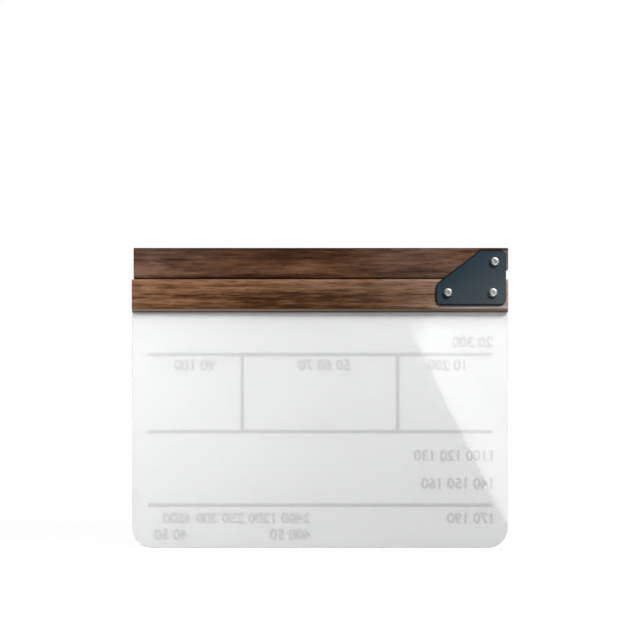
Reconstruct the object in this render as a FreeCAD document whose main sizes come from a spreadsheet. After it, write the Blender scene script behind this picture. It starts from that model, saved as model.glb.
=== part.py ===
# Clapperboard: a milky acrylic slate held in a grooved walnut stick, and a second walnut stick that
# swings on a bolted corner hinge and claps down on the first.
#
# Millimetres. +X runs towards the hinge end, +Y towards the printed face and +Z up. The origin is the
# middle of the slate's bottom edge, half way through its thickness. The clapper is modelled shut.
import FreeCAD, Part
import os
import Sketcher

# Driving dimensions: alias, value, what it measures.
SIZES = (
    ("slate_width", 300, "board and lower stick, end to end"),
    ("slate_drop", 188, "board that shows below the lower stick"),
    ("board_thickness", 3, "acrylic sheet"),
    ("board_corner_radius", 16, "bottom corners of the board"),
    ("board_edge_break", 0.3, "polished break along the board's edges"),
    ("lower_stick_height", 26.5, "fixed stick"),
    ("upper_stick_height", 25, "clapper stick"),
    ("stick_thickness", 15, "fixed stick, face to face"),
    ("stick_roundover", 2, "rounding of the sticks' long edges"),
    ("lower_bevel", 3.2, "flat bevel along the fixed stick's bottom edges"),
    ("end_ease", 0.5, "easing of the sticks' sawn ends"),
    ("groove_roof", 4.5, "wood left above the groove that takes the board"),
    ("groove_side_gap", 0.1, "room beside the board in its groove, each face"),
    ("groove_top_gap", 0.2, "room above the board in its groove"),
    ("clapper_setback", 1.4, "clapper's free end, short of the fixed stick's end"),
    ("pivot_from_end", 11, "pivot axis from the hinge end of the sticks"),
    ("pivot_rise", 14, "pivot axis above the line where the sticks meet"),
    ("heel_rise", 7.7, "height of the heel cut on the clapper's hinge end"),
    ("heel_past_pivot", 0.5, "reach of the heel cut past the pivot axis"),
    ("plate_thickness", 1.5, "hinge plates"),
    ("plate_width", 56, "hinge plate along the sticks"),
    ("plate_end_inset", 1.9, "plate's edge from the hinge end of the sticks"),
    ("plate_top_inset", 1.8, "plate's top edge below the clapper's top"),
    ("plate_bottom_inset", 5.7, "plate's bottom edge above the fixed stick's bottom"),
    ("plate_top_length", 20.6, "straight top edge of the plate, before rounding"),
    ("plate_toe_height", 16.7, "short upright edge of the plate, before rounding"),
    ("plate_corner_radius", 5, "square corners of the plate"),
    ("plate_shoulder_radius", 8, "blunt corner over the plate's toe"),
    ("plate_edge_bevel", 0.5, "bevel round the plate's outer face"),
    ("outer_bolt_from_end", 12.3, "lower bolt nearer the hinge end"),
    ("lower_bolt_drop", 10.7, "lower bolts below the line where the sticks meet"),
    ("inner_bolt_from_toe", 9.6, "other lower bolt from the plate's toe edge"),
    ("bolt_head_diameter", 7.4, "heads of the screws and of the posts"),
    ("screw_head_height", 2.3, "domed head of the screw"),
    ("screw_head_rim", 0.7, "upright rim below the dome"),
    ("screw_head_flat", 3.8, "flat round the socket on top of the dome, across"),
    ("post_head_height", 1.8, "flat head of the post"),
    ("post_head_bevel", 0.5, "bevel round the post's head"),
    ("socket_across", 2.5, "hexagon socket, across its flats"),
    ("socket_depth", 1.3, "hexagon socket below the top of the head"),
    ("barrel_diameter", 5, "smooth barrel of the threaded post"),
    ("barrel_shy", 0.6, "barrel's end below the far plate's outer face"),
    ("thread_diameter", 4, "screw that enters the post"),
    ("thread_engagement", 8, "screw inside the post"),
    ("thread_end_room", 1.5, "post's bore past the end of the screw"),
    ("thread_gap", 0.05, "room round the screw in the post, on the radius"),
    ("bolt_hole_gap", 0.1, "room round the barrel in its holes, on the radius"),
    ("running_gap", 0.05, "room where the bushes turn on the barrel and against the plates"),
    ("bush_diameter", 7, "bush in the clapper's bore"),
    ("bush_flange_diameter", 11, "thrust flange of the bush"),
    ("bush_flange_thickness", 0.5, "thrust flange of the bush"),
    ("bush_fit_gap", 0.02, "room round the bush in the clapper's bore, on the radius"),
    ("bush_middle_gap", 1, "bush's inner end from the clapper's middle plane"),
    ("wood_screw_head", 6, "countersunk head across"),
    ("wood_screw_diameter", 3, "shank"),
    ("wood_screw_lip", 0.3, "upright lip of the countersunk head"),
    ("wood_screw_bite", 2.4, "screw in the back cheek of the fixed stick"),
    ("wood_screw_point", 2, "length of the point"),
    ("wood_screw_gap", 0.1, "room round the wood screws, on the radius"),
    ("wood_screw_rise", 11, "wood screws above the fixed stick's bottom"),
    ("left_screw_from_end", 20, "wood screw near the free end"),
    ("middle_screw_from_end", 135, "wood screw near the middle, from the free end"),
    ("cross_recess_span", 3.2, "cross recess, tip to tip"),
    ("cross_recess_width", 0.8, "arm of the cross recess"),
    ("cross_recess_depth", 1, "cross recess below the head"),
)

# Places worked out from the sizes, as expressions that the features are bound to.
HALF_WIDTH = "Sizes.slate_width / 2"
FREE_END = "(-Sizes.slate_width / 2)"
STICK_BOTTOM = "Sizes.slate_drop"
MEETING_LINE = "(Sizes.slate_drop + Sizes.lower_stick_height)"
CLAPPER_TOP = f"({MEETING_LINE} + Sizes.upper_stick_height)"
GROOVE_ROOF = f"({MEETING_LINE} - Sizes.groove_roof)"
GROOVE_HALF = "(Sizes.board_thickness / 2 + Sizes.groove_side_gap)"
STICK_FACE = "(Sizes.stick_thickness / 2)"
PLATE_FACE = f"({STICK_FACE} + Sizes.plate_thickness)"
CLAPPER_FACE = f"({STICK_FACE} - Sizes.bush_flange_thickness - Sizes.running_gap)"
CLAPPER_FREE_END = f"({FREE_END} + Sizes.clapper_setback)"

PLATE_END = f"({HALF_WIDTH} - Sizes.plate_end_inset)"
PLATE_TOE = f"({PLATE_END} - Sizes.plate_width)"

PIVOT = (f"({HALF_WIDTH} - Sizes.pivot_from_end)", f"({MEETING_LINE} + Sizes.pivot_rise)")
LOWER_BOLT_HEIGHT = f"({MEETING_LINE} - Sizes.lower_bolt_drop)"
OUTER_BOLT = (f"({HALF_WIDTH} - Sizes.outer_bolt_from_end)", LOWER_BOLT_HEIGHT)
INNER_BOLT = (f"({PLATE_TOE} + Sizes.inner_bolt_from_toe)", LOWER_BOLT_HEIGHT)

WOOD_SCREW_HEIGHT = f"({STICK_BOTTOM} + Sizes.wood_screw_rise)"
LEFT_SCREW = (f"({FREE_END} + Sizes.left_screw_from_end)", WOOD_SCREW_HEIGHT)
MIDDLE_SCREW = (f"({FREE_END} + Sizes.middle_screw_from_end)", WOOD_SCREW_HEIGHT)
WOOD_SCREWS = (LEFT_SCREW, MIDDLE_SCREW)
WOOD_SCREW_LENGTH = f"({STICK_FACE} + {GROOVE_HALF} + Sizes.wood_screw_bite)"
WOOD_SCREW_HOLE = "(Sizes.wood_screw_diameter + 2 * Sizes.wood_screw_gap)"
WOOD_SCREW_MOUTH = "(Sizes.wood_screw_head + 2 * Sizes.wood_screw_gap + 2 * Sizes.wood_screw_lip)"

BOLT_HOLE = "(Sizes.barrel_diameter + 2 * Sizes.bolt_hole_gap)"
SCREW_LENGTH = "(Sizes.barrel_shy + Sizes.thread_engagement)"
BARREL_LENGTH = f"(2 * {PLATE_FACE} - Sizes.barrel_shy)"
THREAD_BORE_DEPTH = "(Sizes.thread_engagement + Sizes.thread_end_room)"

X_AXIS = FreeCAD.Vector(1, 0, 0)
Y_AXIS = FreeCAD.Vector(0, 1, 0)
# Turns that stand a fastener, modelled along Z with its head up, along +Y or -Y.
HEAD_TO_FRONT = FreeCAD.Rotation(X_AXIS, -90)
HEAD_TO_BACK = FreeCAD.Rotation(X_AXIS, 90)
ON_PLANE = 1e-6

doc = FreeCAD.newDocument("Clapperboard")
sheet = doc.addObject("Spreadsheet::Sheet", "Sizes")
for row, (alias, size, meaning) in enumerate(SIZES, start=1):
    sheet.set(f"A{row}", meaning)
    sheet.set(f"B{row}", str(size))
    sheet.setAlias(f"B{row}", alias)
doc.recompute()


# Sketch helpers
def value(expression):
    """The number that an expression on the sheet gives now."""
    return float(sheet.evalExpression(expression))


def new_body(label):
    """An empty body whose label names its file."""
    body = doc.addObject("PartDesign::Body", label)
    body.Label = label
    return body


def sketch_on(body, role, offset=None):
    """A sketch on one of the body's origin planes, lifted off it by the offset expression."""
    sketch = body.newObject("Sketcher::SketchObject", f"{body.Label}_sketch")
    origin_plane = next(f for f in body.Origin.OriginFeatures if f.Role == role)
    sketch.AttachmentSupport = [(origin_plane, "")]
    sketch.MapMode = "FlatFace"
    if offset:
        sketch.setExpression("AttachmentOffset.Base.z", offset)
    return sketch


def bind(sketch, constraint, expression):
    """Adds a constraint and ties its value to the sheet."""
    index = sketch.addConstraint(constraint)
    sketch.setExpression(f"Constraints[{index}]", expression)


def place_point(sketch, geometry, point, place):
    """Fixes a sketch point at a place, a pair of expressions measured from the sketch's origin."""
    across, up = place
    bind(sketch, Sketcher.Constraint("DistanceX", -1, 1, geometry, point, value(across)), across)
    bind(sketch, Sketcher.Constraint("DistanceY", -1, 1, geometry, point, value(up)), up)


def flat_point(place):
    """A place as a vector in the sketch."""
    return FreeCAD.Vector(value(place[0]), value(place[1]), 0)


def outline(sketch, corners):
    """A closed outline of straight lines through the corners."""
    count = len(corners)
    lines = []
    for start, end in zip(corners, corners[1:] + corners[:1]):
        lines.append(sketch.addGeometry(Part.LineSegment(flat_point(start), flat_point(end)), False))
    for i in range(count):
        sketch.addConstraint(Sketcher.Constraint("Coincident", lines[i], 2, lines[(i + 1) % count], 1))
    for line, corner in zip(lines, corners):
        place_point(sketch, line, 1, corner)


def circles(sketch, centres, diameter):
    """Circles of one diameter."""
    for centre in centres:
        circle = Part.Circle(flat_point(centre), FreeCAD.Vector(0, 0, 1), value(diameter) / 2)
        geometry = sketch.addGeometry(circle, False)
        place_point(sketch, geometry, 3, centre)
        bind(sketch, Sketcher.Constraint("Diameter", geometry, value(diameter)), diameter)


def domed_outline(sketch, corners):
    """A half section whose first edge is an arc centred on the axis, and the rest straight."""
    shoulder, rim = flat_point(corners[0]), flat_point(corners[1])
    centre_height = (shoulder.dot(shoulder) - rim.dot(rim)) / (2 * (shoulder.y - rim.y))
    centre = FreeCAD.Vector(0, centre_height, 0)
    crest = (shoulder + rim) * 0.5 - centre
    crest.Length = (rim - centre).Length
    arc = sketch.addGeometry(Part.Arc(shoulder, centre + crest, rim), False)
    # An arc is kept anticlockwise, so it starts at the rim and ends at the shoulder.
    sketch.addConstraint(Sketcher.Constraint("PointOnObject", arc, 3, -2))
    straight = corners[1:] + corners[:1]
    lines = []
    for start, end in zip(straight, straight[1:]):
        lines.append(sketch.addGeometry(Part.LineSegment(flat_point(start), flat_point(end)), False))
    sketch.addConstraint(Sketcher.Constraint("Coincident", arc, 1, lines[0], 1))
    for line, following in zip(lines, lines[1:]):
        sketch.addConstraint(Sketcher.Constraint("Coincident", line, 2, following, 1))
    sketch.addConstraint(Sketcher.Constraint("Coincident", lines[-1], 2, arc, 2))
    for line, corner in zip(lines, straight):
        place_point(sketch, line, 1, corner)
    place_point(sketch, lines[-1], 2, corners[0])


# Feature helpers
def pad(body, sketch, length):
    """Pads a sketch by half the length to each side."""
    feature = body.newObject("PartDesign::Pad", f"{body.Label}_pad")
    feature.Profile = sketch
    feature.SideType = "Symmetric"
    feature.setExpression("Length", length)
    doc.recompute()
    return feature


def revolve(body, sketch):
    """Turns a half section about the sketch's upright axis."""
    feature = body.newObject("PartDesign::Revolution", f"{body.Label}_turned")
    feature.Profile = sketch
    feature.ReferenceAxis = (sketch, ["V_Axis"])
    feature.Angle = 360
    doc.recompute()
    return feature


def checked_cut(body, feature, before):
    """Recomputes a cut and makes sure that it took material away."""
    doc.recompute()
    if not body.Shape.Volume < before - ON_PLANE:
        raise RuntimeError(f"{feature.Name} cut nothing")
    return feature


def pocket_through(body, sketch):
    """Cuts a sketch right through the body, to both sides."""
    before = body.Shape.Volume
    feature = body.newObject("PartDesign::Pocket", f"{body.Label}_pocket")
    feature.Profile = sketch
    feature.SideType = "Symmetric"
    feature.Type = "ThroughAll"
    return checked_cut(body, feature, before)


def pocket_upwards(body, sketch):
    """Cuts everything above a sketch, along the sketch's normal."""
    before = body.Shape.Volume
    feature = body.newObject("PartDesign::Pocket", f"{body.Label}_recess")
    feature.Profile = sketch
    feature.Type = "ThroughAll"
    feature.Reversed = True
    return checked_cut(body, feature, before)


def named_edges(feature, wanted):
    """Names of the feature's edges that pass the test."""
    return [f"Edge{i}" for i, edge in enumerate(feature.Shape.Edges, start=1) if wanted(edge)]


def dress(body, kind, feature, wanted, size_name, size):
    """Fillets or chamfers the feature's edges that pass the test."""
    edges = named_edges(feature, wanted)
    if not edges:
        raise RuntimeError(f"{body.Label} has no edge to dress with {kind}")
    dressed = body.newObject(f"PartDesign::{kind}", f"{body.Label}_{kind}")
    dressed.Base = (feature, edges)
    dressed.setExpression(size_name, size)
    doc.recompute()
    return dressed


def fillet(body, feature, wanted, radius):
    return dress(body, "Fillet", feature, wanted, "Radius", radius)


def chamfer(body, feature, wanted, size):
    return dress(body, "Chamfer", feature, wanted, "Size", size)


def runs_along(edge, axis):
    """True for a straight edge parallel to the axis."""
    return isinstance(edge.Curve, Part.Line) and abs(edge.Curve.Direction.dot(axis)) > 1 - ON_PLANE


def lies_at(low, high, place):
    """True where a bounding interval is flat and sits at a place."""
    return abs(low - place) < ON_PLANE and abs(high - place) < ON_PLANE


def lies_at_x(edge, place):
    return lies_at(edge.BoundBox.XMin, edge.BoundBox.XMax, place)


def lies_at_y(edge, place):
    return lies_at(edge.BoundBox.YMin, edge.BoundBox.YMax, place)


def lies_at_z(edge, place):
    return lies_at(edge.BoundBox.ZMin, edge.BoundBox.ZMax, place)


def put(body, place, depth, rotation=FreeCAD.Rotation()):
    """Stands a body at a place on the XZ face, at a depth along Y."""
    body.Placement = FreeCAD.Placement(FreeCAD.Vector(), rotation)
    body.setExpression("Placement.Base.x", place[0])
    body.setExpression("Placement.Base.y", depth)
    body.setExpression("Placement.Base.z", place[1])
    doc.recompute()


# Sub-parts
def make_slate_board():
    """Acrylic sheet, rounded at the bottom, whose top edge is the tongue held in the groove."""
    body = new_body("slate_board")
    tongue_top = f"({GROOVE_ROOF} - Sizes.groove_top_gap)"
    sheet_sketch = sketch_on(body, "XZ_Plane")
    outline(
        sheet_sketch,
        [(FREE_END, "0"), (HALF_WIDTH, "0"), (HALF_WIDTH, tongue_top), (FREE_END, tongue_top)],
    )
    blank = pad(body, sheet_sketch, "Sizes.board_thickness")
    rounded = fillet(
        body, blank, lambda e: runs_along(e, Y_AXIS) and lies_at_z(e, 0), "Sizes.board_corner_radius"
    )
    face = value("Sizes.board_thickness / 2")
    chamfer(
        body, rounded, lambda e: lies_at_y(e, face) or lies_at_y(e, -face), "Sizes.board_edge_break"
    )
    bolt_holes = sketch_on(body, "XZ_Plane")
    circles(bolt_holes, (OUTER_BOLT, INNER_BOLT), BOLT_HOLE)
    pocket_through(body, bolt_holes)
    screw_holes = sketch_on(body, "XZ_Plane")
    circles(screw_holes, WOOD_SCREWS, WOOD_SCREW_HOLE)
    pocket_through(body, screw_holes)
    return body


def make_lower_stick():
    """Fixed walnut stick: bevelled below, rounded above and grooved along its bottom for the board."""
    body = new_body("lower_stick")
    bevel_top = f"({STICK_BOTTOM} + Sizes.lower_bevel)"
    bevel_inner = f"({STICK_FACE} - Sizes.lower_bevel)"
    section = sketch_on(body, "YZ_Plane")
    outline(
        section,
        [
            (f"-{bevel_inner}", STICK_BOTTOM),
            (f"-{GROOVE_HALF}", STICK_BOTTOM),
            (f"-{GROOVE_HALF}", GROOVE_ROOF),
            (GROOVE_HALF, GROOVE_ROOF),
            (GROOVE_HALF, STICK_BOTTOM),
            (bevel_inner, STICK_BOTTOM),
            (STICK_FACE, bevel_top),
            (STICK_FACE, MEETING_LINE),
            (f"-{STICK_FACE}", MEETING_LINE),
            (f"-{STICK_FACE}", bevel_top),
        ],
    )
    bar = pad(body, section, "Sizes.slate_width")
    top = value(MEETING_LINE)
    rounded = fillet(
        body, bar, lambda e: runs_along(e, X_AXIS) and lies_at_z(e, top), "Sizes.stick_roundover"
    )
    end, groove_wall = value(HALF_WIDTH), value(GROOVE_HALF)

    def on_outer_end(edge):
        in_groove = max(-edge.BoundBox.YMin, edge.BoundBox.YMax) < groove_wall + ON_PLANE
        return (lies_at_x(edge, end) or lies_at_x(edge, -end)) and not in_groove

    chamfer(body, rounded, on_outer_end, "Sizes.end_ease")
    bolt_holes = sketch_on(body, "XZ_Plane")
    circles(bolt_holes, (OUTER_BOLT, INNER_BOLT), BOLT_HOLE)
    pocket_through(body, bolt_holes)
    cut_wood_screw_holes(body)
    return body


def cut_wood_screw_holes(body):
    """Blind countersunk holes for the wood screws, sunk from the printed side."""
    before = body.Shape.Volume
    mouths = sketch_on(body, "XZ_Plane", f"-{STICK_FACE}")
    circles(mouths, WOOD_SCREWS, WOOD_SCREW_HOLE)
    doc.recompute()
    hole = body.newObject("PartDesign::Hole", "lower_stick_screw_holes")
    hole.Profile = mouths
    hole.ThreadType = "None"
    hole.HoleCutType = "Countersink"
    hole.HoleCutCustomValues = True
    hole.HoleCutCountersinkAngle = 90
    hole.DepthType = "Dimension"
    hole.DrillPoint = "Flat"
    hole.Reversed = True
    hole.setExpression("Diameter", WOOD_SCREW_HOLE)
    hole.setExpression("HoleCutDiameter", WOOD_SCREW_MOUTH)
    hole.setExpression("Depth", f"{WOOD_SCREW_LENGTH} + Sizes.wood_screw_gap")
    checked_cut(body, hole, before)


def make_upper_stick():
    """Clapper: a rounded walnut stick, its heel sawn away past the pivot so that it can swing up."""
    body = new_body("upper_stick")
    face_sketch = sketch_on(body, "XZ_Plane")
    outline(
        face_sketch,
        [
            (CLAPPER_FREE_END, MEETING_LINE),
            (HALF_WIDTH, MEETING_LINE),
            (HALF_WIDTH, CLAPPER_TOP),
            (CLAPPER_FREE_END, CLAPPER_TOP),
        ],
    )
    bar = pad(body, face_sketch, f"2 * {CLAPPER_FACE}")
    rounded = fillet(body, bar, lambda e: runs_along(e, X_AXIS), "Sizes.stick_roundover")
    ends = (value(CLAPPER_FREE_END), value(HALF_WIDTH))
    chamfer(
        body, rounded, lambda e: any(lies_at_x(e, end) for end in ends), "Sizes.end_ease"
    )
    heel = sketch_on(body, "XZ_Plane")
    heel_toe = f"({PIVOT[0]} - Sizes.heel_past_pivot)"
    heel_top = f"({MEETING_LINE} + Sizes.heel_rise)"
    outline(heel, [(heel_toe, MEETING_LINE), (HALF_WIDTH, MEETING_LINE), (HALF_WIDTH, heel_top)])
    pocket_through(body, heel)
    bore = sketch_on(body, "XZ_Plane")
    circles(bore, (PIVOT,), "Sizes.bush_diameter + 2 * Sizes.bush_fit_gap")
    pocket_through(body, bore)
    return body


def make_hinge_plate(label, outer_side):
    """Cut corner plate with three bolt holes. outer_side is -1 for the back and 1 for the front."""
    body = new_body(label)
    bottom = f"({STICK_BOTTOM} + Sizes.plate_bottom_inset)"
    top = f"({CLAPPER_TOP} - Sizes.plate_top_inset)"
    shoulder = f"({bottom} + Sizes.plate_toe_height)"
    slope_top = f"({PLATE_END} - Sizes.plate_top_length)"
    face_sketch = sketch_on(body, "XZ_Plane")
    outline(
        face_sketch,
        [
            (PLATE_TOE, bottom),
            (PLATE_END, bottom),
            (PLATE_END, top),
            (slope_top, top),
            (PLATE_TOE, shoulder),
        ],
    )
    blank = pad(body, face_sketch, "Sizes.plate_thickness")
    square_corners = (
        (value(PLATE_TOE), value(bottom)),
        (value(PLATE_END), value(bottom)),
        (value(PLATE_END), value(top)),
    )

    def stands_at(edge, corner):
        return runs_along(edge, Y_AXIS) and lies_at_x(edge, corner[0]) and lies_at_z(edge, corner[1])

    squared = fillet(
        body, blank, lambda e: any(stands_at(e, c) for c in square_corners), "Sizes.plate_corner_radius"
    )
    shoulder_corner = (value(PLATE_TOE), value(shoulder))
    rounded = fillet(body, squared, lambda e: stands_at(e, shoulder_corner), "Sizes.plate_shoulder_radius")
    outer_face = outer_side * value("Sizes.plate_thickness / 2")
    chamfer(body, rounded, lambda e: lies_at_y(e, outer_face), "Sizes.plate_edge_bevel")
    holes = sketch_on(body, "XZ_Plane")
    circles(holes, (PIVOT, OUTER_BOLT, INNER_BOLT), BOLT_HOLE)
    pocket_through(body, holes)
    put(body, ("0", "0"), f"{outer_side} * ({STICK_FACE} + Sizes.plate_thickness / 2)")
    return body


def cut_hex_socket(body, head_height):
    """Hexagon socket in the top of a head."""
    socket = sketch_on(body, "XY_Plane", f"{head_height} - Sizes.socket_depth")
    corner = "(Sizes.socket_across / sqrt(3))"
    half_corner = f"({corner} / 2)"
    flat = "(Sizes.socket_across / 2)"
    outline(
        socket,
        [
            (corner, "0"),
            (half_corner, flat),
            (f"-{half_corner}", flat),
            (f"-{corner}", "0"),
            (f"-{half_corner}", f"-{flat}"),
            (half_corner, f"-{flat}"),
        ],
    )
    pocket_upwards(body, socket)


def make_post(label, place):
    """Threaded post: a flat head on the front plate and a smooth barrel that reaches the back plate."""
    body = new_body(label)
    head = "(Sizes.bolt_head_diameter / 2)"
    head_top = "Sizes.post_head_height"
    barrel = "Sizes.barrel_diameter / 2"
    bore = "(Sizes.thread_diameter / 2 + Sizes.thread_gap)"
    tip = f"-{BARREL_LENGTH}"
    bore_end = f"({tip} + {THREAD_BORE_DEPTH})"
    section = sketch_on(body, "XZ_Plane")
    outline(
        section,
        [
            ("0", head_top),
            (f"({head} - Sizes.post_head_bevel)", head_top),
            (head, f"({head_top} - Sizes.post_head_bevel)"),
            (head, "0"),
            (barrel, "0"),
            (barrel, tip),
            (bore, tip),
            (bore, bore_end),
            ("0", bore_end),
        ],
    )
    revolve(body, section)
    cut_hex_socket(body, head_top)
    put(body, place, PLATE_FACE, HEAD_TO_FRONT)
    return body


def make_screw(label, place):
    """Domed screw that enters the post from the back plate."""
    body = new_body(label)
    head = "(Sizes.bolt_head_diameter / 2)"
    head_top = "Sizes.screw_head_height"
    shank = "Sizes.thread_diameter / 2"
    tip = f"-{SCREW_LENGTH}"
    section = sketch_on(body, "XZ_Plane")
    domed_outline(
        section,
        [
            ("Sizes.screw_head_flat / 2", head_top),
            (head, "Sizes.screw_head_rim"),
            (head, "0"),
            (shank, "0"),
            (shank, tip),
            ("0", tip),
            ("0", head_top),
        ],
    )
    revolve(body, section)
    cut_hex_socket(body, head_top)
    put(body, place, f"-{PLATE_FACE}", HEAD_TO_BACK)
    return body


def make_bush(label, outer_side):
    """Flanged bush in one side of the clapper's bore. Its flange keeps the clapper off the plate."""
    body = new_body(label)
    bore = "(Sizes.barrel_diameter / 2 + Sizes.running_gap)"
    sleeve = "Sizes.bush_diameter / 2"
    rim = "Sizes.bush_flange_diameter / 2"
    inner_end = f"(Sizes.bush_middle_gap - {CLAPPER_FACE})"
    section = sketch_on(body, "XZ_Plane")
    outline(
        section,
        [
            (bore, inner_end),
            (sleeve, inner_end),
            (sleeve, "0"),
            (rim, "0"),
            (rim, "Sizes.bush_flange_thickness"),
            (bore, "Sizes.bush_flange_thickness"),
        ],
    )
    revolve(body, section)
    facing = HEAD_TO_FRONT if outer_side > 0 else HEAD_TO_BACK
    put(body, PIVOT, f"{outer_side} * {CLAPPER_FACE}", facing)
    return body


def make_wood_screw(label, place):
    """Countersunk screw, flush with the printed side, through the board's tongue into the back cheek."""
    body = new_body(label)
    head = "Sizes.wood_screw_head / 2"
    shank = "Sizes.wood_screw_diameter / 2"
    tip = f"-{WOOD_SCREW_LENGTH}"
    neck = f"(-Sizes.wood_screw_lip - ({head} - {shank}))"
    section = sketch_on(body, "XZ_Plane")
    outline(
        section,
        [
            ("0", tip),
            (shank, f"({tip} + Sizes.wood_screw_point)"),
            (shank, neck),
            (head, "-Sizes.wood_screw_lip"),
            (head, "0"),
            ("0", "0"),
        ],
    )
    revolve(body, section)
    recess = sketch_on(body, "XY_Plane", "-Sizes.cross_recess_depth")
    reach, arm = "(Sizes.cross_recess_span / 2)", "(Sizes.cross_recess_width / 2)"
    outline(
        recess,
        [
            (reach, f"-{arm}"),
            (reach, arm),
            (arm, arm),
            (arm, reach),
            (f"-{arm}", reach),
            (f"-{arm}", arm),
            (f"-{reach}", arm),
            (f"-{reach}", f"-{arm}"),
            (f"-{arm}", f"-{arm}"),
            (f"-{arm}", f"-{reach}"),
            (arm, f"-{reach}"),
            (arm, f"-{arm}"),
        ],
    )
    pocket_upwards(body, recess)
    put(body, place, STICK_FACE, HEAD_TO_FRONT)
    return body


sub_parts = [
    make_slate_board(),
    make_lower_stick(),
    make_upper_stick(),
    make_hinge_plate("hinge_plate_back", -1),
    make_hinge_plate("hinge_plate_front", 1),
    make_bush("pivot_bush_back", -1),
    make_bush("pivot_bush_front", 1),
    make_wood_screw("board_screw_left", LEFT_SCREW),
    make_wood_screw("board_screw_middle", MIDDLE_SCREW),
]
for bolt, bolt_place in (("pivot", PIVOT), ("outer", OUTER_BOLT), ("inner", INNER_BOLT)):
    sub_parts.append(make_post(f"{bolt}_post", bolt_place))
    sub_parts.append(make_screw(f"{bolt}_screw", bolt_place))

doc.recompute()
for item in doc.Objects:
    if "Invalid" in item.State or "Error" in item.State:
        raise RuntimeError(f"{item.Name} failed: {item.State}")
for sub_part in sub_parts:
    if sub_part.Shape.isNull() or not sub_part.Shape.isValid() or len(sub_part.Shape.Solids) != 1:
        raise RuntimeError(f"{sub_part.Label} is not one valid solid")

os.makedirs("parts", exist_ok=True)
for sub_part in sub_parts:
    sub_part.Shape.exportStep(f"parts/{sub_part.Label}.step")
    print(f"{sub_part.Label}: {sub_part.Shape.Volume:.1f} mm3")
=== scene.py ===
"""Clapperboard dresser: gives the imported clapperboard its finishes, its printed face and its studio."""

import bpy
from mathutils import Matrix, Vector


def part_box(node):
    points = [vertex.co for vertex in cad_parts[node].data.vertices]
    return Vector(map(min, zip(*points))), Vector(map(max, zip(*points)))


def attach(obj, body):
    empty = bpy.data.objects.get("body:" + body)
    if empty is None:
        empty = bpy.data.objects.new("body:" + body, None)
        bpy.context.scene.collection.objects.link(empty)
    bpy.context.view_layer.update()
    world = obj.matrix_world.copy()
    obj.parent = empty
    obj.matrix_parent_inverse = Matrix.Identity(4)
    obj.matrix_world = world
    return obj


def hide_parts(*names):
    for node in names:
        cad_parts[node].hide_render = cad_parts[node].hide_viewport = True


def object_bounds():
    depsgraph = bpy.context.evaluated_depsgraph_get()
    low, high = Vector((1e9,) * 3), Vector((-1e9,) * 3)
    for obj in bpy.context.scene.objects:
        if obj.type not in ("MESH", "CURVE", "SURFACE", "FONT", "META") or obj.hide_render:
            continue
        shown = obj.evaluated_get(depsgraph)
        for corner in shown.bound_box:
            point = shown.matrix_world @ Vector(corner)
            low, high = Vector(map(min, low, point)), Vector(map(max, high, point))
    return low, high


bl_info = {
    "name": "Clapperboard dresser",
    "version": (1, 0, 0),
    "blender": (4, 5, 0),
    "location": "View3D > Sidebar > Clapperboard",
    "description": "Milky acrylic, walnut, hinge finishes, printed face and studio for a clapperboard",
    "category": "Object",
}

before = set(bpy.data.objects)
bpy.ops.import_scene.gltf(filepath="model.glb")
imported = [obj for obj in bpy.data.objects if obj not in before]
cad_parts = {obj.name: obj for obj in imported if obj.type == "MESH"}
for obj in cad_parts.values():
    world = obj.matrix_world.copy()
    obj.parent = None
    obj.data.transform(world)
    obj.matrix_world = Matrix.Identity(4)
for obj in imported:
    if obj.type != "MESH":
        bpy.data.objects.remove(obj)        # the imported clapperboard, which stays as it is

import math

import bmesh
import bpy
from bpy.props import FloatProperty, FloatVectorProperty, PointerProperty
from bpy.types import Operator, Panel, PropertyGroup
from mathutils import Matrix, Vector

CAD_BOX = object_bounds()
MM = 0.001

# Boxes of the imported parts
BOARD_LOW, BOARD_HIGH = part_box("slate_board")
LOWER_LOW, LOWER_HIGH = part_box("lower_stick")
UPPER_LOW, UPPER_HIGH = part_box("upper_stick")
PLATE_LOW, PLATE_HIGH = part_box("hinge_plate_front")
BACK_PLATE_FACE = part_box("hinge_plate_back")[0].y

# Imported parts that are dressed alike
HINGE_PLATES = ("hinge_plate_back", "hinge_plate_front")
POSTS = ("pivot_post", "outer_post", "inner_post")
SCREWS = ("pivot_screw", "outer_screw", "inner_screw")
BUSHES = ("pivot_bush_back", "pivot_bush_front")
BOARD_SCREWS = ("board_screw_left", "board_screw_middle")

# A hinge plate: height of its toe, width of its top, bevel of its face and solid share of the painted edge
# shade
PLATE_TOE = 16.7 * MM
PLATE_TOP = 20.6 * MM
PLATE_BEVEL = (-0.20 * MM, -0.05 * MM)
BORDER_SOLID = 0.4

# Where a sheen is painted on its coat: steps down from its upper inner corner, and steps across times the
# lean
SHEEN_LEAN = 0.72
SHEEN_REACH = (31.0 * MM, 77.0 * MM)

# Where a highlight and a shade are painted on the wood round the back plate, from the plate's sides or the
# stick's foot and back
HIGHLIGHT_BESIDE = (-3.5 * MM, -1.5 * MM)
HIGHLIGHT_BELOW = (-0.4 * MM, 0.8 * MM)
HIGHLIGHT_NEAR = (-8.0 * MM, 16.0 * MM)
HIGHLIGHT_OVER_BEVEL = (2.2 * MM, 2.8 * MM)
SHADE_ABOVE = (-0.4 * MM, 0.0)
SHADE_NEAR = (-1.0 * MM, 1.0 * MM)
BACK_SKIN = (0.4 * MM, 1.8 * MM)

# Socket screws: steps round the axis and over the head, small distances and what edge is sharp
SCREW_STEPS = 48
HEAD_STEPS = 6
SCREW_MERGE = 0.001 * MM
SOCKET_ROOM = 0.1 * MM
SIXTH = math.pi / 3.0
SHARP_EDGE = math.radians(35.0)

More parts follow.
